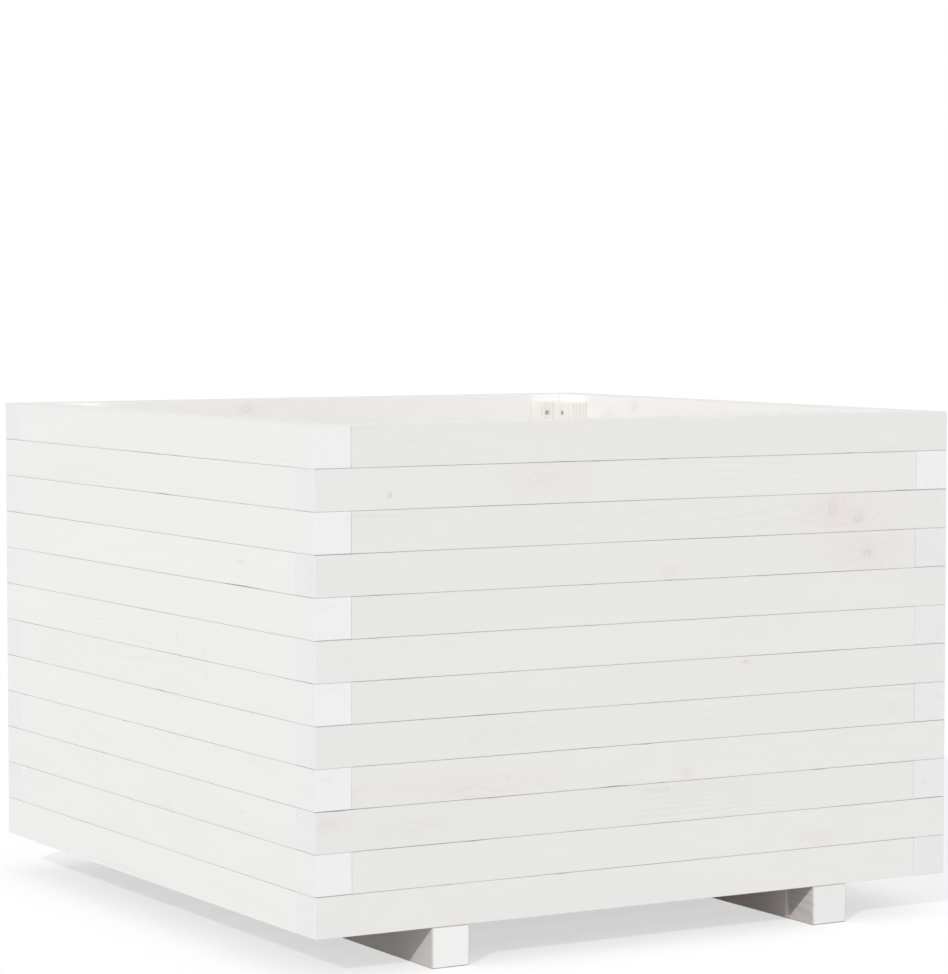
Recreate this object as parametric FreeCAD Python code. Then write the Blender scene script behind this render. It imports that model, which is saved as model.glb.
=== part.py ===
import FreeCAD, Part
import os

from FreeCAD import Placement, Rotation, Vector

# A square planter: four walls of stacked slats that lap at the corners in turn, like logs, on two
# runners. Millimetres, +Z up. The origin is on the ground under the middle of the box, and the
# front wall faces -Y.

# Box
box_width = 700.0             # X, over the outer faces of the left and right walls
box_depth = 700.0             # Y, over the outer faces of the front and back walls
row_count = 12                # slats in each wall, one on the other
slat_height = 38.0
slat_thickness = 37.0
arris = 1.0                   # bevel on every edge of the planed bars and boards

# Runners, which carry the box clear of the ground
runner_width = 39.0
runner_height = 38.0
runner_inset = 119.0          # from a side wall's outer face to the runner
lath_thickness = 4.0          # thin lath along the inner side of each runner
lath_arris = 0.5
lath_ground_gap = 2.0
lath_end_clearance = 2.0      # from the lath's end to the wall's inner face

# Battens, two inside each wall, which hold its slats together
batten_width = 38.0
batten_thickness = 20.0
batten_rim_drop = 8.0         # from the rim down to a batten's top

# Floor
floor_board_count = 7
floor_board_thickness = 18.0
drain_gap = 8.0               # between two floor boards
floor_clearance = 1.0         # from the floor to the walls

# Screws
screw_diameter = 4.5
screw_head_diameter = 9.0
screw_recess = 0.8            # from the wood's surface down to the top of the head
screw_hole_clearance = 0.25   # around the shank in the piece that the screw passes
corner_screw_count = 2        # at each corner, evenly spread over the height
corner_screw_cover = 4.0      # wood left past the point, in the next wall's batten
runner_screw_cover = 12.0     # wood left past the point, in the lowest slat

# Worked out from the sizes above
wall_base = runner_height
rim = wall_base + row_count * slat_height
inner_width = box_width - 2 * slat_thickness
inner_depth = box_depth - 2 * slat_thickness
floor_top = wall_base + floor_board_thickness
batten_length = rim - batten_rim_drop - floor_top
runner_center = box_width / 2 - runner_inset - runner_width / 2
floor_board_width = (
    inner_depth - 2 * floor_clearance - (floor_board_count - 1) * drain_gap
) / floor_board_count
screw_radius = screw_diameter / 2
screw_head_radius = screw_head_diameter / 2
screw_hole_radius = screw_radius + screw_hole_clearance
corner_screw_reach = batten_width + batten_thickness - corner_screw_cover
runner_screw_reach = runner_height + slat_height - runner_screw_cover

DOWN = Vector(0, 0, -1)
UP = Vector(0, 0, 1)
ALONG = Vector(1, 0, 0)
WALLS = ("front", "right", "back", "left")


def timber(corner, size, bevel=arris):
    """Planed bar or board from its lowest corner, with every edge bevelled."""
    bar = Part.makeBox(size.x, size.y, size.z, corner)
    return bar.makeChamfer(bevel, bar.Edges)


def turned(outline):
    """Solid turned about Z from an outline of (radius, height) corners."""
    corners = [Vector(radius, 0, height) for radius, height in outline]
    section = Part.Face(Part.makePolygon(corners + corners[:1]))
    return section.revolve(Vector(), UP, 360)


def screw(reach):
    """Countersunk screw that points down from a surface at the origin, in which its head is
    recessed, to a depth of reach."""
    return turned([
        (0, -screw_recess),
        (screw_head_radius, -screw_recess),
        (screw_radius, screw_radius - screw_head_radius - screw_recess),
        (screw_radius, -reach),
        (0, -reach),
    ])


def screw_hole(grip):
    """Clearance hole through a piece as thick as grip, with the countersink that seats the head."""
    return turned([
        (0, 0),
        (screw_head_radius + screw_recess, 0),
        (screw_hole_radius, screw_hole_radius - screw_head_radius - screw_recess),
        (screw_hole_radius, -grip),
        (0, -grip),
    ])


def driven(fastener, point, direction):
    """Copy of a screw or its hole, moved to a point and turned from down to a direction."""
    return fastener.transformed(
        Placement(point, Rotation(DOWN, direction)).toMatrix()
    )


def wall_placement(wall):
    """Where a wall stands: its own X runs along its outer face from the left end, its Y inwards."""
    turn = WALLS.index(wall)
    corners = (
        Vector(-box_width / 2, -box_depth / 2, 0),
        Vector(box_width / 2, -box_depth / 2, 0),
        Vector(box_width / 2, box_depth / 2, 0),
        Vector(-box_width / 2, box_depth / 2, 0),
    )
    return Placement(corners[turn], Rotation(UP, 90 * turn))


def wall_length(wall):
    return box_width if wall in ("front", "back") else box_depth


def wall_slat(wall, row):
    """Slat of one row, counted from the rim. Its lap end fills the corner at the wall's right end
    in odd rows and at its left end in even rows, and its other end butts on the next wall."""
    start = slat_thickness if row % 2 else 0
    base = wall_base + (row_count - row) * slat_height
    size = Vector(wall_length(wall) - slat_thickness, slat_thickness, slat_height)
    slat = timber(Vector(start, 0, base), size)
    return slat.transformed(wall_placement(wall).toMatrix())


def batten_starts(wall):
    """Places of a wall's two battens along it: one in the left corner, and one at the right that
    stops against the next wall's batten."""
    left = slat_thickness
    right = wall_length(wall) - slat_thickness - batten_thickness - batten_width
    return left, right


def wall_battens(wall):
    size = Vector(batten_width, batten_thickness, batten_length)
    battens = [
        timber(Vector(start, slat_thickness, floor_top), size) for start in batten_starts(wall)
    ]
    return [batten.transformed(wall_placement(wall).toMatrix()) for batten in battens]


def corner_screw_seats(wall):
    """Points and direction of the screws that join a wall's right batten to the next wall."""
    placement = wall_placement(wall)
    right = batten_starts(wall)[1]
    middle = slat_thickness + batten_thickness / 2
    step = batten_length / corner_screw_count
    lowest = floor_top + step / 2
    points = [
        placement.multVec(Vector(right, middle, lowest + level * step))
        for level in range(corner_screw_count)
    ]
    return points, placement.Rotation.multVec(ALONG)


def runner(side):
    """Bar from front to back under the box, at the left (-1) or the right (1)."""
    corner = Vector(side * runner_center - runner_width / 2, -box_depth / 2, 0)
    return timber(corner, Vector(runner_width, box_depth, runner_height))


def runner_lath(side):
    inner_face = side * (runner_center - runner_width / 2)
    low_x = min(inner_face, inner_face - side * lath_thickness)
    length = inner_depth - 2 * lath_end_clearance
    size = Vector(lath_thickness, length, runner_height - lath_ground_gap)
    return timber(Vector(low_x, -length / 2, lath_ground_gap), size, lath_arris)


def floor_board(index):
    """Board across both runners, counted from the front."""
    front = -inner_depth / 2 + floor_clearance + index * (floor_board_width + drain_gap)
    length = inner_width - 2 * floor_clearance
    size = Vector(length, floor_board_width, floor_board_thickness)
    return timber(Vector(-length / 2, front, wall_base), size)


def runner_screw_seats(side):
    """Points on a runner's underside, in the middle of the front and back walls above it."""
    wall_middle = box_depth / 2 - slat_thickness / 2
    return [Vector(side * runner_center, y, 0) for y in (-wall_middle, wall_middle)]


slats = {
    (wall, row): wall_slat(wall, row) for wall in WALLS for row in range(1, row_count + 1)
}
battens = {wall: wall_battens(wall) for wall in WALLS}
runners = {side: runner(side) for side in (-1, 1)}
floor_boards = [floor_board(index) for index in range(floor_board_count)]
corner_screws = []
runner_screws = []

# Corner screws go through a wall's right batten, along the wall, into the next wall's left batten
for turn, wall in enumerate(WALLS):
    following = WALLS[(turn + 1) % len(WALLS)]
    points, direction = corner_screw_seats(wall)
    for point in points:
        fastener = driven(screw(corner_screw_reach), point, direction)
        hole = driven(screw_hole(batten_width), point, direction)
        battens[wall][1] = battens[wall][1].cut(hole)
        battens[following][0] = battens[following][0].cut(fastener)
        corner_screws.append(fastener)

# Runner screws go up through each runner into the lowest slats of the front and back walls
for side in runners:
    for wall, point in zip(("front", "back"), runner_screw_seats(side)):
        fastener = driven(screw(runner_screw_reach), point, UP)
        hole = driven(screw_hole(runner_height), point, UP)
        runners[side] = runners[side].cut(hole)
        slats[wall, row_count] = slats[wall, row_count].cut(fastener)
        runner_screws.append(fastener)

nodes = {f"{wall}_slat_{row:02d}": slat for (wall, row), slat in slats.items()}
for wall, pair in battens.items():
    nodes[f"{wall}_battens"] = Part.makeCompound(pair)
nodes["left_runner"] = runners[-1]
nodes["right_runner"] = runners[1]
nodes["left_runner_lath"] = runner_lath(-1)
nodes["right_runner_lath"] = runner_lath(1)
nodes["floor_boards"] = Part.makeCompound(floor_boards)
nodes["corner_screws"] = Part.makeCompound(corner_screws)
nodes["runner_screws"] = Part.makeCompound(runner_screws)

os.makedirs("parts", exist_ok=True)
for name, shape in nodes.items():
    shape.exportStep(f"parts/{name}.step")
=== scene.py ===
import bpy
import numpy as np
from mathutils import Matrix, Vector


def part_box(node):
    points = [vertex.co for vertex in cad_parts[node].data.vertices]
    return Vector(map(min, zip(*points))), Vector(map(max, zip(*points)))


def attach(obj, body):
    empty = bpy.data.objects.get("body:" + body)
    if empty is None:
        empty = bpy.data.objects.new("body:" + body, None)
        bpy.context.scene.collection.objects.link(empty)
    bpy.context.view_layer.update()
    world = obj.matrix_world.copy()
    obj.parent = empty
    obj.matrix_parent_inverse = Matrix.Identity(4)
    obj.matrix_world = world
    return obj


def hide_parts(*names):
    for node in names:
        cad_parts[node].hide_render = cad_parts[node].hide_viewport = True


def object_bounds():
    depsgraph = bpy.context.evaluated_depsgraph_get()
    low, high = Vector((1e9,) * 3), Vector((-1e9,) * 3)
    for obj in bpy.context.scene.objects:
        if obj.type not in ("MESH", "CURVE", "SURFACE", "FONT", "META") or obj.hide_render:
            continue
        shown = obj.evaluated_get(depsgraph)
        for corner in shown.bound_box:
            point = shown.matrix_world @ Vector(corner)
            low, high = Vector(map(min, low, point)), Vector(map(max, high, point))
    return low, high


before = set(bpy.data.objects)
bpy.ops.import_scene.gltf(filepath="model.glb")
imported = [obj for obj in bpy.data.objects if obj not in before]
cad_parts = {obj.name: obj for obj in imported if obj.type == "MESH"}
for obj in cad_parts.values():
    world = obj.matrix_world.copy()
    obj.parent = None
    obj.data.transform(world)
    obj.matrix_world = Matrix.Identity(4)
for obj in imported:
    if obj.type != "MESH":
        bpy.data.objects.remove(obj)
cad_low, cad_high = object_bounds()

# A square planter of white painted pine: four walls of stacked slats that lap at the corners in
# turn, two runners under them, battens and a floor of boards inside. Metres, +Z up, and the front
# wall faces -Y.


def linear(hex_colour):
    """Linear colour of an sRGB hex value."""
    coded = np.array([int(hex_colour[k:k + 2], 16) for k in (1, 3, 5)]) / 255
    light = np.where(coded <= 0.04045, coded / 12.92, ((coded + 0.055) / 1.055) ** 2.4)
    return (*light, 1.0)


MM = 0.001
QUARTER = np.pi / 2
SEED = 47
FLOOR_SEED = 100                   # second number of the seed for the floor boards

WALLS = ("front", "right", "back", "left")
SEEN_WALLS = ("front", "left")     # from the camera
RUNNERS = ("left_runner", "right_runner")
ROWS = range(1, 13)                # counted from the rim

# Planed timber
EDGE_RADIUS = 0.2 * MM             # eased long edges
EDGE_LEAST = 0.8                   # share of it that is left at the narrowest places of an edge
EDGE_SPREAD = 0.4                  # share of it that waves add
LOWER_EDGE = 0.4                   # share of it on the lower edges, which are eased less
END_RADIUS = 0.38 * MM             # eased edges of a sawn end
EDGE_ANGLES = np.radians((0, 0, 30, 60, 90, 90))
FLAT_MARGIN = 0.4 * MM             # strip beside an eased edge that keeps the face flat to the eye
END_STEPS = 4
STATION_STEP = 3.5 * MM            # along a bar, fine enough for a nick
TRUENESS = 0.12 * MM               # how far a planed side wanders from its plane
WAVE_COUNT = 3                     # sines in one wave
SIDE_WAVES = (150 * MM, 700 * MM)  # shortest and longest sine along a side
EDGE_WAVES = (60 * MM, 400 * MM)   # and along an eased edge
NICK_COUNT = 4                     # on each edge of a bar
NICK_DEPTH = 0.6 * MM
NICK_WIDTHS = (3, 9)               # least and most, in millimetres
PITH_DISTANCES = (15, 80)          # from a bar's middle to its tree's, least and most, in millimetres
TREE_PLACES = (0, 20)              # metres along the tree at which a bar may have grown
UNDERSIDE = 3 * MM                 # height of the part of a slat that a hollow lifts
END_SHADE_LOSS = 0.5                # share of the painted joint shade taken off where the joint runs over a sawn end

# Paint on the sawn ends of a wall's slats beside the paint on their sides, and of one slat that differs
END_TONE = {"front": 0.985, "right": 1.01, "back": 0.985, "left": 1.08, ("right", 2): 1.08}
END_TONE_SPREAD = 0.01             # more or less from slat to slat
TONES = (0.99, 1.005)              # of the paint on a slat's sides, least and most
FIGURES = (0.2, 1.0)               # how far growth rings show on a slat, least and most

# Gap in millimetres from a slat's butt end to the slat that it meets, least and most, by wall and for
# one slat that differs
BUTT_GAP = {
    "front": (0.18, 0.26), "right": (0.05, 0.3), "back": (0.05, 0.3), "left": (0.0, 0.1),
    ("front", 2): (0.06, 0.1),
}

# Painted shade as a share of a full grey cover: on the rim's top, and along a wall's joints, where it
# stands in for the shade in the crevices and is lighter on the walls the sun lights more
# the rim's top is painted darker, as shade
RIM_PAINTED_SHADE = 0.13
JOINT_PAINTED_SHADE = {"front": 0.68, "right": 0.8, "back": 0.8, "left": 0.5}

# Fasteners
BATTEN_WIDTH = 38 * MM
CORNER_SCREW_REACH = 54 * MM
CORNER_SCREW_PLACES = (0.25, 0.75)   # shares of a batten's height
RUNNER_SCREW_REACH = 64 * MM
SCREW_SIDES = 40
SCREW_HEAD_RADIUS = 4.5 * MM
SCREW_RADIUS = 2.25 * MM
SCREW_RECESS = 0.8 * MM            # from the wood down to the top of the head
SCREW_RIM = 0.2 * MM               # from the top of the head down to its widest circle
SCREW_TIP = 3 * MM                 # length of the point
SCREW_TIP_END = 0.3                # radius of its end, as a share of the shank's
CROWN_CIRCLES = (0.98, 0.8, 0.66, 0.54, 0.42, 0.32, 0.22, 0.12)   # shares of the head's radius
CROSS_DEPTH = 1.6 * MM
CROSS_FLANK = 0.09                 # width of the slope on an arm's side, as a share of the head's radius
CROSS_EDGE = 2.2                   # from an arm's middle to its edge, in such widths
CROSS_REACH = 0.62                 # from the axis to an arm's end, as a share of the head's radius
CROSS_END = 0.25                   # length of the slope at an arm's end, as such a share
NAIL_SIDES = 12
NAIL_HEAD_RADIUS = 2.6 * MM
NAIL_HEAD_HEIGHT = 0.7 * MM
NAIL_PROFILE = ((0.96, -0.4), (1.0, 0.45), (0.86, 0.9), (0.5, 1.0))   # shares of radius and height
NAIL_EDGE = 12 * MM                # from a batten's end to a nail, at least
FLOOR_NAIL_PLACES = (0.22, 0.78)   # shares of a board's width
FLOOR_BOARD_COUNT = 7
DRAIN_GAP = 8 * MM

# Camera, placed for a picture 948 wide and 974 high
CAMERA_PLACE = (-1.7486, -3.0212, 0.6165)
CAMERA_TURN = np.radians(30.305)   # to the right of straight ahead
CAMERA_DIP = np.radians(3.348)     # below the horizon
CAMERA_LENS = 126.89

# Light and studio floor
SUN_PATH = (0.68, 0.548, -0.488)   # from the left of the camera, over its shoulder
SUN_STRENGTH = 1.675
SUN_ANGLE = np.radians(2)
HORIZON_STRENGTH = 1.014
ZENITH_STRENGTH = 0.62
FILL_SIDE = (0.93, 0.25, 0.27)     # a soft patch of the sky, right of the planter and a little behind it
FILL_WIDTH = np.radians(38)
FILL_STRENGTH = 0.9
FLOOR_RADIUS = 60.0
FLOOR_SIDES = 64
FLOOR_GLOW = 0.6                   # lifts the floor to white for the camera
FLOOR_TO_LIGHT = linear("#B0B0B0")
FLOOR_TO_THE_EYE = linear("#A8A8A8")

# Paint, pine that shows through it, dust and zinc
WHITE_COAT = linear("#EEEDEB")
SLAT_END_COAT = linear("#EEEEEE")
RUNNER_COAT = linear("#F0EAE7")
# warm white of the laths: partly the paint, partly a painted warm cast of the shade under the planter
LATH_COAT = linear("#F4E9E6")
BAR_END_COAT = linear("#EFEFEE")
THIN_COAT = linear("#E9E6E0")
PINK_STAIN = linear("#EEE7E4")
PINE = linear("#DDCFB9")
PINE_UNDER_LATH_COAT = linear("#DCD3C6")
PINE_UNDER_RUNNER_COAT = linear("#B5ABA4")
# grey of the painted shade in the joints and on the rim
PAINTED_SHADE_GREY = linear("#8B8582")
BRIGHT_ZINC = linear("#C3C5C8")
DULL_ZINC = linear("#A3A5A6")
PAINT_IOR = 1.48
MATT = 0.2                         # specular level of the paint on slats and floor boards

# Patterns in the wood, along the grain and across it, and growth rings
FIBRES = (45 * MM, 1.6 * MM)
CLOUDS = (160 * MM, 40 * MM)
FIGURE_PATCHES = (220 * MM, 30 * MM)
FLOOR_FIBRES = (60 * MM, 1.8 * MM)
FLOOR_PATCHES = (200 * MM, 40 * MM)
RAGGED_EDGE = (11 * MM, 6 * MM)
UNEVEN_STAIN = (24 * MM, 8 * MM)
PITH_WANDER = (260 * MM, 60 * MM)
PITH_REACH = 36 * MM               # how far the pith wanders, from side to side
LATE_WOOD = (0.35, 0.95)           # where in a ring it starts and is full
RING_WIDTH = 4.5 * MM
SLAT_END_RING_WIDTH = 3.5 * MM
FLOOR_RING_WIDTH = 5 * MM
KNOT_BULGE = 11 * MM               # how far rings swell around a knot

# Patterns that are alike in all directions
PORES = 1.2 * MM
SMUDGES = 11 * MM
STIPPLE = 1.4 * MM                 # the roller's grain, which is finer in truth and drawn so to show
ZINC_CLOUDS = 2 * MM

NOISE_SPAN = {1: 0.3, 2: 0.7}      # sockets of a map range, for most of what a noise gives

# Marks in the painted pine, by wall and row: millimetres from the left or front end of the wall and
# up from the slat's underside, half length, half height, how grey its core is and how pink its halo
MARKS = {
    ("front", 2): [(76, 13, 4, 4, 1.3, 0.0), (240, 22, 38, 17, 0.0, 0.5)],
    ("front", 3): [(562, 24, 9, 13, 0.45, 0.3), (593, 13, 9, 10, 0.6, 0.1), (573, 17, 46, 22, 0.0, 0.9)],
    ("front", 4): [(604, 18, 7, 6, 0.55, 0.2), (600, 18, 42, 24, 0.0, 0.8), (376, 8, 14, 6, 0.0, 0.4)],
    ("front", 7): [(462, 32, 5, 3, 0.7, 0.5)],
    ("front", 8): [(637, 14, 6, 7, 0.25, 0.0)],
    ("front", 9): [(145, 11, 76, 12, 0.0, 0.6), (198, 17, 3, 2, 0.6, 0.1), (395, 8, 7, 7, 0.2, 1.0)],
    ("front", 10): [(12, 26, 16, 9, 0.2, 0.2), (95, 18, 40, 9, 0.1, 0.1), (362, 31, 22, 3, 0.4, 0.3)],
    ("front", 11): [(545, 9, 22, 8, 0.05, 0.6)],
    ("left", 2): [(540, 0, 210, 16, 0.0, 0.0)],
    ("left", 4): [(146, 22, 17, 2, 0.55, 0.0)],
    ("left", 6): [(283, 18, 5, 8, 0.3, 0.0), (225, 6, 4, 4, 0.35, 0.0)],
    ("left", 7): [(217, 24, 5, 3, 0.3, 0.0)],
    ("left", 10): [(145, 20, 3, 3, 0.6, 0.0)],
}
MARK_LIMIT = 3                     # marks on one slat
NO_MARK = (-1e4, -1e4, 1.0, 1.0, 0.0, 0.0)

# Least and most of the same six values for random knots on the other walls
KNOT_RANGES = ((60, 640), (6, 32), (4, 16), (4, 10), (0.1, 0.5), (0.1, 0.5))
KNOT_LIMIT = 2                     # random knots on one slat

# Hollows in the undersides of slats, which open a joint: millimetres from the left or front end of
# the wall, half length and depth
HOLLOWS = {
    ("front", 1): [(258, 12, 0.12), (581, 5, 0.25)],
    ("front", 2): [(648, 9, 0.25)],
    ("front", 4): [(66, 7, 0.2), (376, 5, 0.2)],
    ("front", 7): [(177, 8, 0.08)],
    ("front", 8): [(287, 4, 0.2)],
    ("front", 9): [(51, 6, 0.15), (313, 14, 0.45), (366, 4, 0.2)],
    ("front", 10): [(273, 7, 0.2)],
    ("left", 1): [(344, 6, 0.2)],
    ("left", 2): [(312, 15, 0.4)],
    ("left", 4): [(145, 33, 0.5)],
    ("left", 7): [(320, 9, 0.4)],
    ("left", 9): [(454, 5, 0.35)],
}


# Surfaces


def circle(sides):
    """Angles of the points on a circle."""
    return np.linspace(0, 2 * np.pi, sides, endpoint=False)


def closed_rings(points):
    """Surface of rings of points, one after the other along a path: four-sided faces between two
    rings, and a flat cap on the first and the last ring. The rings turn left as seen against the
    path, so the faces point outwards."""
    steps, count, _ = points.shape
    index = np.arange(steps * count).reshape(steps, count)
    following = np.roll(index, -1, axis=1)
    sides = np.stack([index[:-1], following[:-1], following[1:], index[1:]], axis=-1)
    return {
        "points": points.reshape(-1, 3),
        "sides": sides.reshape(-1, 4),
        "caps": np.stack([index[0][::-1], index[-1]]),
        "attributes": {},
    }


def waves(places, span, rng):
    """Slow wave between 0 and 1 along a bar: a few sines of random length and phase, added."""
    lengths = rng.uniform(*span, WAVE_COUNT)
    phases = rng.uniform(0, 2 * np.pi, WAVE_COUNT)
    return 0.5 + np.sin(2 * np.pi * places[:, None] / lengths + phases).sum(axis=1) / (2 * WAVE_COUNT)


def nicks(places, rng):
    """Widening of an edge where it was knocked: bell curves at random places, most of them low."""
    centres = rng.uniform(places[0], places[-1], NICK_COUNT)
    widths = rng.uniform(*NICK_WIDTHS, NICK_COUNT) * MM
    depths = NICK_DEPTH * rng.uniform(0, 1, NICK_COUNT) ** 3
    return (depths * np.exp(-(((places[:, None] - centres) / widths) ** 2))).sum(axis=1)


def planed_bar(low, high, along, rng):
    """Planed bar in the box from low to high, with its grain along one axis. A rectangle with
    rounded corners is carried along it. Its four sides wander inwards by slow waves, the radius of
    each corner follows a wave and its nicks, and at both ends the section shrinks along a quarter
    circle. The grain attribute is the place in the tree: along it, and across from its pith. The
    end_edge attribute is 1 on the eased edges of the ends. The ledge attribute is 1 on the top and
    its eased edges, and falls to 0 over the flat strip below them."""
    low, high = np.array(low), np.array(high)
    across, up = (along + 1) % 3, (along + 2) % 3
    length = high[along] - low[along]
    end = END_RADIUS * (1 - np.cos(np.linspace(0, QUARTER, END_STEPS)))
    start = END_RADIUS + FLAT_MARGIN
    middle = np.linspace(start, length - start, int(length / STATION_STEP))
    places = np.concatenate([end, middle, length - end[::-1]])
    from_end = np.minimum(np.minimum(places, length - places), END_RADIUS)
    inset = END_RADIUS - np.sqrt(END_RADIUS**2 - (END_RADIUS - from_end) ** 2)

    near, far, bottom, top = (inset + TRUENESS * waves(places, SIDE_WAVES, rng) for _ in range(4))
    near, far = low[across] + near, high[across] - far
    bottom, top = low[up] + bottom, high[up] - top
    angles = np.radians((180, 270, 0, 90))[:, None] + EDGE_ANGLES
    upward = {0: np.sin(angles), 1: np.cos(angles)}[along]
    upper = upward.sum(axis=1) > 0
    radius = np.stack([
        EDGE_RADIUS * (EDGE_LEAST + EDGE_SPREAD * waves(places, EDGE_WAVES, rng)) + nicks(places, rng)
        for _ in range(4)
    ], axis=1)
    radius *= np.where(upper, 1.0, LOWER_EDGE)
    centre_across = np.stack([near, far, far, near], axis=1) + radius * (1, -1, -1, 1)
    centre_up = np.stack([bottom, bottom, top, top], axis=1) + radius * (1, 1, -1, -1)
    slide = FLAT_MARGIN * np.array((-1, 0, 0, 0, 0, 1))
    ring_across = centre_across[..., None] + radius[..., None] * np.cos(angles) - slide * np.sin(angles)
    ring_up = centre_up[..., None] + radius[..., None] * np.sin(angles) + slide * np.cos(angles)

    points = np.empty((len(places), angles.size, 3))
    points[..., along] = low[along] + places[:, None]
    points[..., across] = ring_across.reshape(len(places), -1)
    points[..., up] = ring_up.reshape(len(places), -1)
    bar = closed_rings(points)

    pith_angle = rng.uniform(0, 2 * np.pi)
    pith = rng.uniform(*PITH_DISTANCES) * MM * np.array((np.cos(pith_angle), np.sin(pith_angle)))
    middle_point = (low + high) / 2
    bar["attributes"]["grain"] = np.stack([
        bar["points"][:, along] + rng.uniform(*TREE_PLACES),
        bar["points"][:, across] - middle_point[across] - pith[0],
        bar["points"][:, up] - middle_point[up] - pith[1],
    ], axis=1)
    bar["attributes"]["end_edge"] = np.repeat((places < start) | (places > length - start), angles.size)
    ledge = upper[:, None] & ((upward > 0.5) | (slide == 0))
    bar["attributes"]["ledge"] = np.tile(ledge.ravel(), len(places))
    return bar


def nail_head():
    """Flat nail head on the plane of its wood: a low dome of four rings, and a flat crown."""
    turn = circle(NAIL_SIDES)
    out, up = np.array(NAIL_PROFILE).T[:, :, None]
    radius, height = NAIL_HEAD_RADIUS * out, NAIL_HEAD_HEIGHT * up
    return np.stack([radius * np.cos(turn), radius * np.sin(turn), height + 0 * turn], axis=-1)


def countersunk_screw(reach):
    """Countersunk screw that points down from the wood's plane, in which it is recessed. Circles are
    carried along its axis from the point to the head, and over the head the height drops inside a
    cross of two bars, which narrow with depth and end in a slope."""
    turn = circle(SCREW_SIDES)
    head, shank = SCREW_HEAD_RADIUS, SCREW_RADIUS
    neck = -SCREW_RECESS - (head - shank)
    rim = (head, -SCREW_RECESS - SCREW_RIM)
    body = [(SCREW_TIP_END * shank, -reach), (shank, -reach + SCREW_TIP), (shank, neck), rim]
    crown = [(share * head, -SCREW_RECESS) for share in CROWN_CIRCLES]
    radius, height = np.array(body + crown).T[:, :, None]
    x, y = radius * np.cos(turn), radius * np.sin(turn)
    arm = np.clip(CROSS_EDGE - np.minimum(np.abs(x), np.abs(y)) / (CROSS_FLANK * head), 0, 1)
    slope = np.clip((CROSS_REACH * head - radius) / (CROSS_END * head), 0, 1)
    on_crown = np.arange(len(radius))[:, None] >= len(body)
    return np.stack([x, y, height - CROSS_DEPTH * arm * slope * on_crown], axis=-1)


def set_at(shape, point, direction):
    """Copy of a fastener, turned so that its head looks along a direction, and moved to a point."""
    side = np.cross(direction, (0.0, 0.0, 1.0) if abs(direction[2]) < 0.5 else (1.0, 0.0, 0.0))
    turn = np.stack([np.cross(side, direction), side, direction])
    return closed_rings(shape @ turn + np.array(point))


def quarter_turned(points, turns):
    """Points turned about the vertical axis, from the front wall to the wall of that number."""
    angle = QUARTER * turns
    cos, sin = np.cos(angle), np.sin(angle)
    return np.asarray(points) @ np.array([[cos, sin, 0], [-sin, cos, 0], [0, 0, 1]])


def make_piece(name, surfaces, materials, nodes=()):
    """One object of several surfaces, with the second material on the caps where it is given. It
    rides on the root body and stands for the nodes."""
    starts = np.cumsum([0] + [len(surface["points"]) for surface in surfaces])
    points = np.concatenate([surface["points"] for surface in surfaces])
    sides = np.concatenate([s["sides"] + start for s, start in zip(surfaces, starts)])
    caps = np.concatenate([s["caps"] + start for s, start in zip(surfaces, starts)])
    mesh = bpy.data.meshes.new(name)
    mesh.from_pydata(points.tolist(), [], sides.tolist() + caps.tolist())
    is_cap = np.arange(len(sides) + len(caps)) >= len(sides)
    mesh.polygons.foreach_set("use_smooth", ~is_cap)
    if len(materials) > 1:
        mesh.polygons.foreach_set("material_index", is_cap.astype(np.int32))
    for attribute in surfaces[0]["attributes"]:
        values = np.concatenate([surface["attributes"][attribute] for surface in surfaces])
        kind, field = ("FLOAT", "value") if values.ndim == 1 else ("FLOAT_VECTOR", "vector")
        layer = mesh.attributes.new(attribute, kind, "POINT")
        layer.data.foreach_set(field, values.astype(np.float32).ravel())
    for material in materials:
        mesh.materials.append(material)
    mesh.update()
    made = bpy.data.objects.new(name, mesh)
    bpy.context.scene.collection.objects.link(made)
    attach(made, "root")
    if nodes:
        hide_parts(*nodes)
    return made


# Materials


def add(tree, kind, inputs=(), **settings):
    """Adds one shader node. Settings are its own properties, and inputs gives its sockets, by name
    or number, a value, or a node or socket to link."""
    made = tree.nodes.new("ShaderNode" + kind)
    for name, value in settings.items():
        setattr(made, name, value)
    for socket, value in dict(inputs).items():
        if isinstance(value, bpy.types.Node):
            value = value.outputs[0]
        if isinstance(value, bpy.types.NodeSocket):
            tree.links.new(value, made.inputs[socket])
        else:
            made.inputs[socket].default_value = value
    return made


def new_material(name):
    """Empty material and its node tree."""
    material = bpy.data.materials.new(name)
    material.use_nodes = True
    material.node_tree.nodes.clear()
    return material, material.node_tree


def finish_material(tree, **inputs):
    """Principled shader with these sockets, on the material's output. Underscores are spaces."""
    sockets = {name.replace("_", " "): value for name, value in inputs.items()}
    shader = add(tree, "BsdfPrincipled", sockets)
    add(tree, "OutputMaterial", {"Surface": shader})


def weighted(tree, base, terms):
    """Sum of a base and of patterns, each times its weight."""
    for pattern, weight in terms:
        base = add(tree, "Math", {0: pattern, 1: weight, 2: base}, operation="MULTIPLY_ADD")
    return base


def streaks(tree, grain, size, detail=2.0):
    """Noise in the wood, of patches that are long along the grain and narrow across it."""
    length, width = size
    share = (1 / length, 1 / width, 1 / width)
    stretched = add(tree, "VectorMath", {0: grain, 1: share}, operation="MULTIPLY")
    return add(tree, "TexNoise", {"Vector": stretched, "Scale": 1.0, "Detail": detail})


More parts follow.
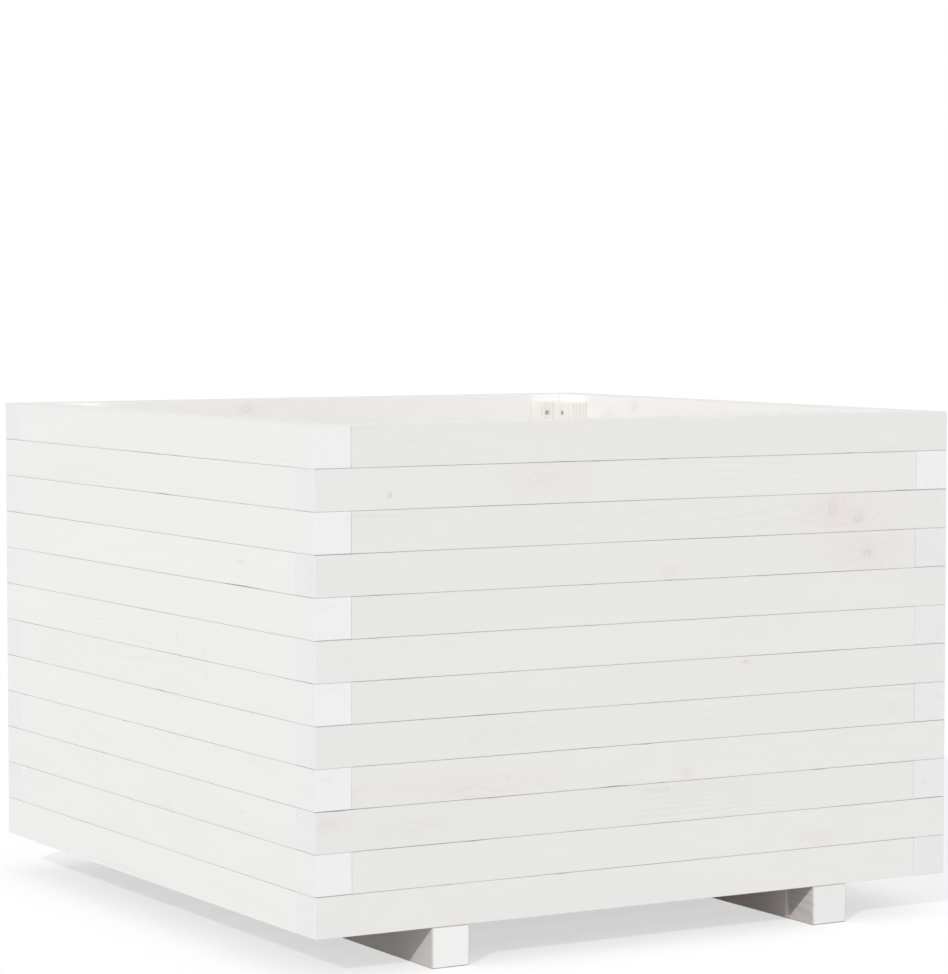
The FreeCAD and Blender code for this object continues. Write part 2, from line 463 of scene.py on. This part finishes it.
def growth_rings(tree, grain, ring_width, bulge=None):
    """Late wood of the growth rings, from 0 to 1: the distance from the pith, which wanders slowly
    along the tree and swells around knots, is cut into rings, each darker towards its outside."""
    wander = streaks(tree, grain, PITH_WANDER, 1.0).outputs["Color"]
    centred = add(tree, "VectorMath", {0: wander, 1: (0.5, 0.5, 0.5)}, operation="SUBTRACT")
    offset = add(tree, "VectorMath", {0: centred, 1: (0, PITH_REACH, PITH_REACH)}, operation="MULTIPLY")
    flat = add(tree, "VectorMath", {0: grain, 1: (0, 1, 1)}, operation="MULTIPLY")
    moved = add(tree, "VectorMath", {0: flat, 1: offset}, operation="ADD")
    distance = add(tree, "VectorMath", {0: moved}, operation="LENGTH").outputs["Value"]
    if bulge:
        distance = add(tree, "Math", {0: distance, 1: bulge}, operation="ADD")
    count = add(tree, "Math", {0: distance, 1: ring_width}, operation="DIVIDE")
    ring = add(tree, "Math", {0: count}, operation="FRACT")
    early, late = LATE_WOOD
    return add(tree, "MapRange", {"Value": ring, 1: early, 2: late}, interpolation_type="SMOOTHSTEP")


def marks(tree, grain):
    """Knots and stains of one slat from its mark attributes, in which a mark's edge is 1 away from
    its middle: the grey of the cores, which have ragged outlines, the pink of the softer halos, and
    how far rings swell around them, where the grain shows."""
    ragged = streaks(tree, grain, RAGGED_EDGE)
    ragged = add(tree, "MapRange", {"Value": ragged, **NOISE_SPAN, 3: 0.6, 4: 1.5})
    uneven = streaks(tree, grain, UNEVEN_STAIN)
    uneven = add(tree, "MapRange", {"Value": uneven, **NOISE_SPAN, 3: 0.75, 4: 1.3})
    greys, pinks = (
        add(tree, "SeparateXYZ", {0: add(tree, "Attribute", attribute_name=name).outputs["Vector"]}).outputs
        for name in ("mark_grey", "mark_pink")
    )
    grey = pink = swell = 0.0
    for number in range(MARK_LIMIT):
        place = add(tree, "Attribute", attribute_name=f"mark_{number + 1}").outputs["Vector"]
        away = add(tree, "VectorMath", {0: place}, operation="LENGTH").outputs["Value"]
        core = add(tree, "Math", {0: away, 1: ragged}, operation="MULTIPLY")
        core = add(tree, "MapRange", {"Value": core, 1: 1.0, 2: 0.3, 3: 0.0, 4: 1.0},
                   interpolation_type="SMOOTHSTEP")
        halo = add(tree, "Math", {0: away, 1: uneven}, operation="MULTIPLY")
        squared = add(tree, "Math", {0: halo, 1: halo}, operation="MULTIPLY")
        halo = add(tree, "Math", {0: np.exp(-1), 1: squared}, operation="POWER")
        grey = weighted(tree, grey, [(core, greys[number])])
        pink = weighted(tree, pink, [(halo, pinks[number])])
        swell = add(tree, "Math", {0: halo, 1: swell}, operation="ADD")
    return grey, pink, swell


def white_paint_on_planed_pine():
    """Two thin coats of white acrylic paint, rolled on planed pine. The eye gets a matt, slightly warm
    white, almost even, with growth rings and fibres that stand up through the coats as faint lines,
    grey and pink where knots bleed through, painted shade as greyer lines on the eased edges of the
    ends and as grey in the joints and on the rim, and a fine roller texture in the light."""
    material, tree = new_material("white_paint_on_planed_pine")
    grain = add(tree, "Attribute", attribute_name="grain").outputs["Vector"]
    look = add(tree, "Attribute", attribute_name="board_look").outputs["Vector"]
    tone, figure, _ = add(tree, "SeparateXYZ", {0: look}).outputs
    # painted shade: greyer lines along the eased edges of the slat's ends, which also dims the highlight on
    # the near corner
    thin = add(tree, "Attribute", attribute_name="end_edge").outputs["Fac"]
    painted_shade = add(tree, "Attribute", attribute_name="painted_shade").outputs["Fac"]
    grey, pink, swell = marks(tree, grain)
    bulge = add(tree, "Math", {0: swell, 1: KNOT_BULGE}, operation="MULTIPLY")
    rings = growth_rings(tree, grain, RING_WIDTH, bulge)
    fibres = streaks(tree, grain, FIBRES)
    clouds = streaks(tree, grain, CLOUDS, 3.0)
    seen = add(tree, "MapRange", {"Value": streaks(tree, grain, FIGURE_PATCHES), 1: 0.45, 2: 0.7})
    seen = add(tree, "Math", {0: seen, 1: figure}, operation="MULTIPLY")
    seen = add(tree, "Math", {0: swell, 1: 0.8, 2: seen}, operation="MULTIPLY_ADD", use_clamp=True)
    lines = add(tree, "Math", {0: rings, 1: seen}, operation="MULTIPLY")
    arcs = weighted(tree, 0.6, [(rings, 0.4)])
    cores = add(tree, "Math", {0: grey, 1: arcs}, operation="MULTIPLY")

    shade = weighted(tree, 1.0, [
        (lines, -0.035), (fibres, -0.02), (clouds, 0.03), (cores, -0.14), (thin, -0.04),
    ])
    shade = add(tree, "Math", {0: shade, 1: tone}, operation="MULTIPLY")
    colour = add(tree, "Mix", {"Factor": pink, 6: WHITE_COAT, 7: PINK_STAIN}, data_type="RGBA").outputs[2]
    colour = add(tree, "VectorMath", {0: colour, "Scale": shade}, operation="SCALE")
    # painted shade: grey over the slat's top in the joints and on the rim
    colour = add(tree, "Mix", {"Factor": painted_shade, 6: colour, 7: PAINTED_SHADE_GREY}, data_type="RGBA").outputs[2]

    # Heights in millimetres
    stipple = add(tree, "TexNoise", {"Vector": grain, "Scale": 1 / STIPPLE, "Detail": 2.0})
    height = weighted(tree, 0.0, [(lines, 0.035), (fibres, 0.03), (stipple, 0.02)])
    bump = add(tree, "Bump", {"Strength": 1.0, "Distance": MM, "Height": height})
    rough = add(tree, "MapRange", {"Value": clouds, **NOISE_SPAN, 3: 0.76, 4: 0.88})
    finish_material(
        tree, Base_Color=colour, Roughness=rough, IOR=PAINT_IOR, Specular_IOR_Level=MATT, Normal=bump
    )
    return material


def white_paint_on_end_grain():
    """The same white paint on a sawn end of pine, which drinks more of it. The eye gets a colder,
    flatter white with faint arcs of growth rings, open pores, and small grey smudges."""
    material, tree = new_material("white_paint_on_end_grain")
    grain = add(tree, "Attribute", attribute_name="grain").outputs["Vector"]
    look = add(tree, "Attribute", attribute_name="board_look").outputs["Vector"]
    tone = add(tree, "SeparateXYZ", {0: look}).outputs[2]
    rings = growth_rings(tree, grain, SLAT_END_RING_WIDTH)
    pores = add(tree, "TexNoise", {"Vector": grain, "Scale": 1 / PORES, "Detail": 3.0})
    smudges = add(tree, "TexNoise", {"Vector": grain, "Scale": 1 / SMUDGES, "Detail": 3.0})
    dirt = add(tree, "MapRange", {"Value": smudges, 1: 0.58, 2: 0.74})
    shade = weighted(tree, 1.0, [(rings, -0.006), (dirt, -0.04), (pores, -0.02)])
    shade = add(tree, "Math", {0: shade, 1: tone}, operation="MULTIPLY")
    colour = add(tree, "VectorMath", {0: SLAT_END_COAT[:3], "Scale": shade}, operation="SCALE")
    height = weighted(tree, 0.0, [(rings, 0.015), (pores, 0.05)])
    bump = add(tree, "Bump", {"Strength": 1.0, "Distance": MM, "Height": height})
    rough = add(tree, "MapRange", {"Value": pores, **NOISE_SPAN, 3: 0.8, 4: 0.92})
    finish_material(
        tree, Base_Color=colour, Roughness=rough, IOR=PAINT_IOR, Specular_IOR_Level=MATT, Normal=bump
    )
    return material


def white_paint_on_bar(name, turn, pith, white, pine, show, painted_side_shade=1.0, end_tone=1.0):
    """White paint on a pine bar or lath, whose wood runs along one axis of the object: turn, in radians
    about X, Y and Z, brings that axis to the grain's, and pith is the tree's middle after it. The eye
    gets a white on the sides, warmer than the slats', darkened by the painted side shade, which on the
    runners stands in for the shade under the planter, with the pine showing through by the share
    given, and a colder white with pores on the sawn ends, which face along the grain."""
    material, tree = new_material(name)
    place = add(tree, "TexCoord").outputs["Object"]
    grain = add(tree, "Mapping", {"Vector": place, "Location": pith, "Rotation": turn}).outputs[0]
    facing = add(tree, "TexCoord").outputs["Normal"]
    facing = add(tree, "Mapping", {"Vector": facing, "Rotation": turn}, vector_type="NORMAL")
    facing = add(tree, "SeparateXYZ", {0: facing}).outputs[0]
    facing = add(tree, "Math", {0: facing}, operation="ABSOLUTE")
    sawn = add(tree, "Math", {0: facing, 1: 0.8}, operation="GREATER_THAN")
    rings = growth_rings(tree, grain, RING_WIDTH)
    fibres = streaks(tree, grain, FIBRES)
    clouds = streaks(tree, grain, CLOUDS, 3.0)
    pores = add(tree, "TexNoise", {"Vector": grain, "Scale": 1 / PORES, "Detail": 3.0})
    patches = streaks(tree, grain, FIGURE_PATCHES)
    seen = add(tree, "MapRange", {"Value": patches, 1: 0.3, 2: 0.65, 4: show})
    seen = add(tree, "Math", {0: rings, 1: seen}, operation="MULTIPLY")
    seen = weighted(tree, seen, [(fibres, 0.4 * show)])
    colour = add(tree, "Mix", {"Factor": seen, 6: white, 7: pine}, data_type="RGBA").outputs[2]
    colour = add(tree, "Mix", {"Factor": sawn, 6: colour, 7: BAR_END_COAT}, data_type="RGBA").outputs[2]
    shade = add(tree, "MapRange", {"Value": clouds, **NOISE_SPAN, 3: 0.97, 4: 1.0})
    # painted shade on the sides by the painted side shade; the sawn ends take the end tone
    tone = add(tree, "MapRange", {"Value": sawn, 3: painted_side_shade, 4: end_tone})
    shade = add(tree, "Math", {0: shade, 1: tone}, operation="MULTIPLY")
    colour = add(tree, "VectorMath", {0: colour, "Scale": shade}, operation="SCALE")
    pore_height = weighted(tree, 0.02, [(sawn, 0.06)])
    height = weighted(tree, 0.0, [(seen, 0.1), (pores, pore_height)])
    bump = add(tree, "Bump", {"Strength": 1.0, "Distance": MM, "Height": height})
    rough = add(tree, "MapRange", {"Value": clouds, **NOISE_SPAN, 3: 0.5, 4: 0.62})
    finish_material(tree, Base_Color=colour, Roughness=rough, IOR=PAINT_IOR, Normal=bump)
    return material


def thin_white_paint_on_pine():
    """One thin coat of the same white on the floor boards. The eye gets a warmer white in which the
    growth rings show as soft pine-coloured lines, with a dry, open surface."""
    material, tree = new_material("thin_white_paint_on_pine")
    grain = add(tree, "Attribute", attribute_name="grain").outputs["Vector"]
    rings = growth_rings(tree, grain, FLOOR_RING_WIDTH)
    fibres = streaks(tree, grain, FLOOR_FIBRES)
    patches = streaks(tree, grain, FLOOR_PATCHES)
    cover = add(tree, "MapRange", {"Value": patches, **NOISE_SPAN, 3: 0.25, 4: 0.6})
    seen = add(tree, "Math", {0: rings, 1: cover}, operation="MULTIPLY")
    seen = weighted(tree, seen, [(fibres, 0.3)])
    colour = add(tree, "Mix", {"Factor": seen, 6: THIN_COAT, 7: PINE}, data_type="RGBA").outputs[2]
    height = weighted(tree, 0.0, [(rings, 0.08), (fibres, 0.08)])
    bump = add(tree, "Bump", {"Strength": 1.0, "Distance": MM, "Height": height})
    rough = add(tree, "MapRange", {"Value": fibres, **NOISE_SPAN, 3: 0.78, 4: 0.92})
    finish_material(
        tree, Base_Color=colour, Roughness=rough, IOR=PAINT_IOR, Specular_IOR_Level=MATT, Normal=bump
    )
    return material


def zinc_plated_steel():
    """Steel with a thin bright zinc coat, tumbled. The eye gets a cool grey metal with cloudy gloss."""
    material, tree = new_material("zinc_plated_steel")
    place = add(tree, "TexCoord").outputs["Object"]
    clouds = add(tree, "TexNoise", {"Vector": place, "Scale": 1 / ZINC_CLOUDS, "Detail": 3.0})
    colour = add(tree, "Mix", {"Factor": clouds, 6: BRIGHT_ZINC, 7: DULL_ZINC}, data_type="RGBA")
    rough = add(tree, "MapRange", {"Value": clouds, **NOISE_SPAN, 3: 0.28, 4: 0.45})
    bump = add(tree, "Bump", {"Strength": 1.0, "Distance": 0.01 * MM, "Height": clouds})
    finish_material(tree, Base_Color=colour.outputs[2], Metallic=1.0, Roughness=rough, Normal=bump)
    return material


def for_the_eye(tree):
    """1 for rays from the camera, and for those that metal or glass sends on, and 0 for light."""
    path = add(tree, "LightPath").outputs
    seen = add(tree, "Math", {0: path["Is Camera Ray"], 1: path["Is Glossy Ray"]}, operation="MAXIMUM")
    return add(tree, "Math", {0: seen, 1: path["Is Transmission Ray"]}, operation="MAXIMUM")


def pale_floor():
    """Matt studio floor, grey to the light that it throws back on the planter. The camera sees it pale,
    with a glow that lifts it to white outside the shadow."""
    material, tree = new_material("pale_studio_floor")
    seen = for_the_eye(tree)
    colour = add(tree, "Mix", {"Factor": seen, 6: FLOOR_TO_LIGHT, 7: FLOOR_TO_THE_EYE}, data_type="RGBA")
    glow = add(tree, "Math", {0: seen, 1: FLOOR_GLOW}, operation="MULTIPLY")
    finish_material(
        tree, Base_Color=colour.outputs[2], Roughness=0.9, Specular_IOR_Level=0.0,
        Emission_Color=(1, 1, 1, 1), Emission_Strength=glow,
    )
    return material


# The planter's pieces


def slat_marks(wall, row, rng):
    """Marks of one slat: those listed for it, or up to two random knots."""
    if (wall, row) in MARKS:
        return MARKS[wall, row]
    if wall in SEEN_WALLS:
        return []
    count = rng.integers(0, KNOT_LIMIT + 1)
    return [tuple(rng.uniform(*ends) for ends in KNOT_RANGES) for _ in range(count)]


def painted_slat(wall, row, materials):
    """Slat of one row of a wall, in the box of its node. Hollows lift its underside along bell curves.
    A mark attribute is the place on the wall's face, counted from a mark's middle in its half lengths
    and half heights. The painted_shade attribute is shade painted on its top, in a joint or on the rim."""
    rng = np.random.default_rng((SEED, WALLS.index(wall), row))
    node = f"{wall}_slat_{row:02d}"
    low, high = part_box(node)
    grain_axis = 0 if wall in ("front", "back") else 1
    butt_corner = low if (row % 2 == 1) == (wall in ("front", "right")) else high
    gap = rng.uniform(*BUTT_GAP.get((wall, row), BUTT_GAP[wall])) * MM
    butt_corner[grain_axis] -= np.sign(butt_corner[grain_axis]) * gap
    bar = planed_bar(low, high, grain_axis, rng)
    points, attributes = bar["points"], bar["attributes"]
    along = (points[:, grain_axis] - cad_low[grain_axis]) / MM
    up = (points[:, 2] - low.z) / MM
    for middle, half_length, depth in HOLLOWS.get((wall, row), ()):
        lift = depth * MM * np.exp(-(((along - middle) / half_length) ** 2))
        points[:, 2] += lift * (points[:, 2] < low.z + UNDERSIDE)
    found = slat_marks(wall, row, rng)
    found = found + [NO_MARK] * (MARK_LIMIT - len(found))
    for number, (mark_along, mark_up, half_length, half_height, _, _) in enumerate(found, 1):
        across = ((along - mark_along) / half_length, (up - mark_up) / half_height, 0 * up)
        attributes[f"mark_{number}"] = np.stack(across, axis=1)
    # painted shade on the slat's top: on the rim, or in the joint under the slat above
    cover = RIM_PAINTED_SHADE if row == 1 else JOINT_PAINTED_SHADE[wall] * (1 - END_SHADE_LOSS * attributes["end_edge"])
    attributes["painted_shade"] = cover * attributes.pop("ledge")
    end_tone = END_TONE.get((wall, row), END_TONE[wall]) + rng.uniform(-END_TONE_SPREAD, END_TONE_SPREAD)
    looks = {
        "mark_grey": [mark[4] for mark in found],
        "mark_pink": [mark[5] for mark in found],
        "board_look": [rng.uniform(*TONES), rng.uniform(*FIGURES), end_tone],
    }
    for name, values in looks.items():
        attributes[name] = np.tile(values, (len(along), 1))
    make_piece(f"{node}_painted", [bar], materials, [node])


def floor_boards(materials):
    """Boards of equal width side by side over the runners, with drain gaps between them."""
    rng = np.random.default_rng((SEED, FLOOR_SEED))
    low, high = (np.array(corner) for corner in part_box("floor_boards"))
    width = (high[1] - low[1] - (FLOOR_BOARD_COUNT - 1) * DRAIN_GAP) / FLOOR_BOARD_COUNT
    boards = []
    for front in low[1] + np.arange(FLOOR_BOARD_COUNT) * (width + DRAIN_GAP):
        corners = (low[0], front, low[2]), (high[0], front + width, high[2])
        boards.append(planed_bar(*corners, 0, rng))
    make_piece("floor_boards_painted", boards, materials, ["floor_boards"])


def corner_screws(material):
    """Two screws in each corner, in the side of a wall's right batten."""
    low, high = (np.array(corner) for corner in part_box("front_battens"))
    screws = []
    for turns in range(len(WALLS)):
        for share in CORNER_SCREW_PLACES:
            seat = (high[0] - BATTEN_WIDTH, (low[1] + high[1]) / 2, low[2] + share * (high[2] - low[2]))
            point = quarter_turned(seat, turns)
            looks = quarter_turned((-1.0, 0.0, 0.0), turns)
            screws.append(set_at(countersunk_screw(CORNER_SCREW_REACH), point, looks))
    make_piece("corner_screws_cross_head", screws, [material], ["corner_screws"])


def runner_screws(material):
    """One screw at each end of a runner, up into the lowest slat."""
    slat_low, slat_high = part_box("front_slat_01")
    middle = (slat_low.y + slat_high.y) / 2
    screws = []
    for runner in RUNNERS:
        low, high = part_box(runner)
        for y in (middle, -middle):
            point = ((low.x + high.x) / 2, y, low.z)
            screws.append(set_at(countersunk_screw(RUNNER_SCREW_REACH), point, (0.0, 0.0, -1.0)))
    make_piece("runner_screws_cross_head", screws, [material], ["runner_screws"])


def batten_nails(material):
    """A nail through each batten into each slat, in the part of the batten that no other one covers."""
    low, high = (np.array(corner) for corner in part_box("front_battens"))
    thickness = high[1] - low[1]
    free = BATTEN_WIDTH - thickness
    for turns, wall in enumerate(WALLS):
        heads = []
        for row in ROWS:
            slat_low, slat_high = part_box(f"{wall}_slat_{row:02d}")
            z = np.clip((slat_low.z + slat_high.z) / 2, low[2] + NAIL_EDGE, high[2] - NAIL_EDGE)
            for x in (low[0] + thickness + free / 2, high[0] - BATTEN_WIDTH / 2):
                point = quarter_turned((x, high[1], z), turns)
                heads.append(set_at(nail_head(), point, quarter_turned((0.0, 1.0, 0.0), turns)))
        make_piece(f"{wall}_batten_nails", heads, [material])


def floor_nails(material):
    """Two nails where each floor board crosses a runner."""
    low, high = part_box("floor_boards")
    pitch = (high.y - low.y + DRAIN_GAP) / FLOOR_BOARD_COUNT
    heads = []
    for runner in RUNNERS:
        runner_low, runner_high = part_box(runner)
        x = (runner_low.x + runner_high.x) / 2
        for board in range(FLOOR_BOARD_COUNT):
            for share in FLOOR_NAIL_PLACES:
                y = low.y + board * pitch + share * (pitch - DRAIN_GAP)
                heads.append(set_at(nail_head(), (x, y, high.z), (0.0, 0.0, 1.0)))
    make_piece("floor_board_nails", heads, [material])


def paint_node(node, material):
    """Gives a node of the frame its material."""
    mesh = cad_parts[node].data
    mesh.materials.clear()
    mesh.materials.append(material)


slat_materials = [white_paint_on_planed_pine(), white_paint_on_end_grain()]
for wall in WALLS:
    for row in ROWS:
        painted_slat(wall, row, slat_materials)

upright = (0, QUARTER, 0)
front_to_back = (0, 0, -QUARTER)
batten_paint = white_paint_on_bar(
    "thin_white_paint_on_batten", upright, (0, 40 * MM, 50 * MM), WHITE_COAT, PINE, 0.45
)
# Painted shade: the lath's sawn front end, under the front wall, is darker by its end tone of 0.7
lath_paint = white_paint_on_bar(
    "white_paint_on_lath", front_to_back, (0, 50 * MM, 40 * MM), LATH_COAT, PINE_UNDER_LATH_COAT, 0.08,
    end_tone=0.7,
)
# Painted shade: the runners' sides are darker by their painted side shade, for the shade under the planter
for side, show, painted_side_shade, end_tone in (("left", 0.08, 0.73, 1.1), ("right", 0.4, 0.79, 1.02)):
    runner_paint = white_paint_on_bar(
        f"white_paint_on_{side}_runner", front_to_back, (0, 60 * MM, 30 * MM), RUNNER_COAT,
        PINE_UNDER_RUNNER_COAT, show, painted_side_shade, end_tone,
    )
    paint_node(f"{side}_runner", runner_paint)
    paint_node(f"{side}_runner_lath", lath_paint)
for wall in WALLS:
    paint_node(f"{wall}_battens", batten_paint)

floor_boards([thin_white_paint_on_pine()])
steel = zinc_plated_steel()
corner_screws(steel)
runner_screws(steel)
batten_nails(steel)
floor_nails(steel)

# Studio


def studio_floor():
    """Round floor far past the horizon that the camera sees."""
    turn = circle(FLOOR_SIDES)
    rim = FLOOR_RADIUS * np.stack([np.cos(turn), np.sin(turn), 0 * turn], axis=1)
    mesh = bpy.data.meshes.new("studio_floor")
    mesh.from_pydata(rim.tolist(), [], [list(range(len(turn)))])
    mesh.materials.append(pale_floor())
    floor = bpy.data.objects.new("studio_floor", mesh)
    bpy.context.scene.collection.objects.link(floor)


def sky():
    """White for the camera, and as light a soft dome that is dimmer towards the top, with a brighter
    patch that lights the right wall more than the back wall."""
    world = bpy.data.worlds.new("soft_dome")
    world.use_nodes = True
    tree = world.node_tree
    tree.nodes.clear()
    direction = add(tree, "TexCoord").outputs["Generated"]
    height = add(tree, "SeparateXYZ", {0: direction}).outputs[2]
    dome = add(tree, "MapRange", {"Value": height, 3: HORIZON_STRENGTH, 4: ZENITH_STRENGTH})
    toward = add(tree, "VectorMath", {0: direction, 1: FILL_SIDE}, operation="DOT_PRODUCT").outputs["Value"]
    fill = add(tree, "MapRange", {"Value": toward, 1: np.cos(FILL_WIDTH), 2: 1.0, 4: FILL_STRENGTH},
               interpolation_type="SMOOTHSTEP")
    light = add(tree, "Math", {0: dome, 1: fill}, operation="ADD")
    strength = add(tree, "Mix", {"Factor": for_the_eye(tree), 2: light, 3: 1.0}, data_type="FLOAT")
    background = add(tree, "Background", {"Color": (1, 1, 1, 1), "Strength": strength})
    add(tree, "OutputWorld", {"Surface": background})
    bpy.context.scene.world = world


def sun():
    """Distant lamp, small enough to the eye for a crisp shadow edge."""
    lamp = bpy.data.lights.new("sun", "SUN")
    lamp.energy = SUN_STRENGTH
    lamp.angle = SUN_ANGLE
    made = bpy.data.objects.new("sun", lamp)
    path = np.array(SUN_PATH) / np.linalg.norm(SUN_PATH)
    made.rotation_euler = (np.arccos(-path[2]), 0.0, np.arctan2(path[1], path[0]) - QUARTER)
    bpy.context.scene.collection.objects.link(made)


def camera():
    """Camera at the height of a person who kneels, to the left of the planter's front."""
    lens = bpy.data.cameras.new("camera")
    lens.lens = CAMERA_LENS
    made = bpy.data.objects.new("camera", lens)
    made.location = CAMERA_PLACE
    made.rotation_euler = (QUARTER - CAMERA_DIP, 0.0, -CAMERA_TURN)
    bpy.context.scene.collection.objects.link(made)
    bpy.context.scene.camera = made


studio_floor()
sky()
sun()
camera()
bpy.context.scene.view_settings.view_transform = "Standard"
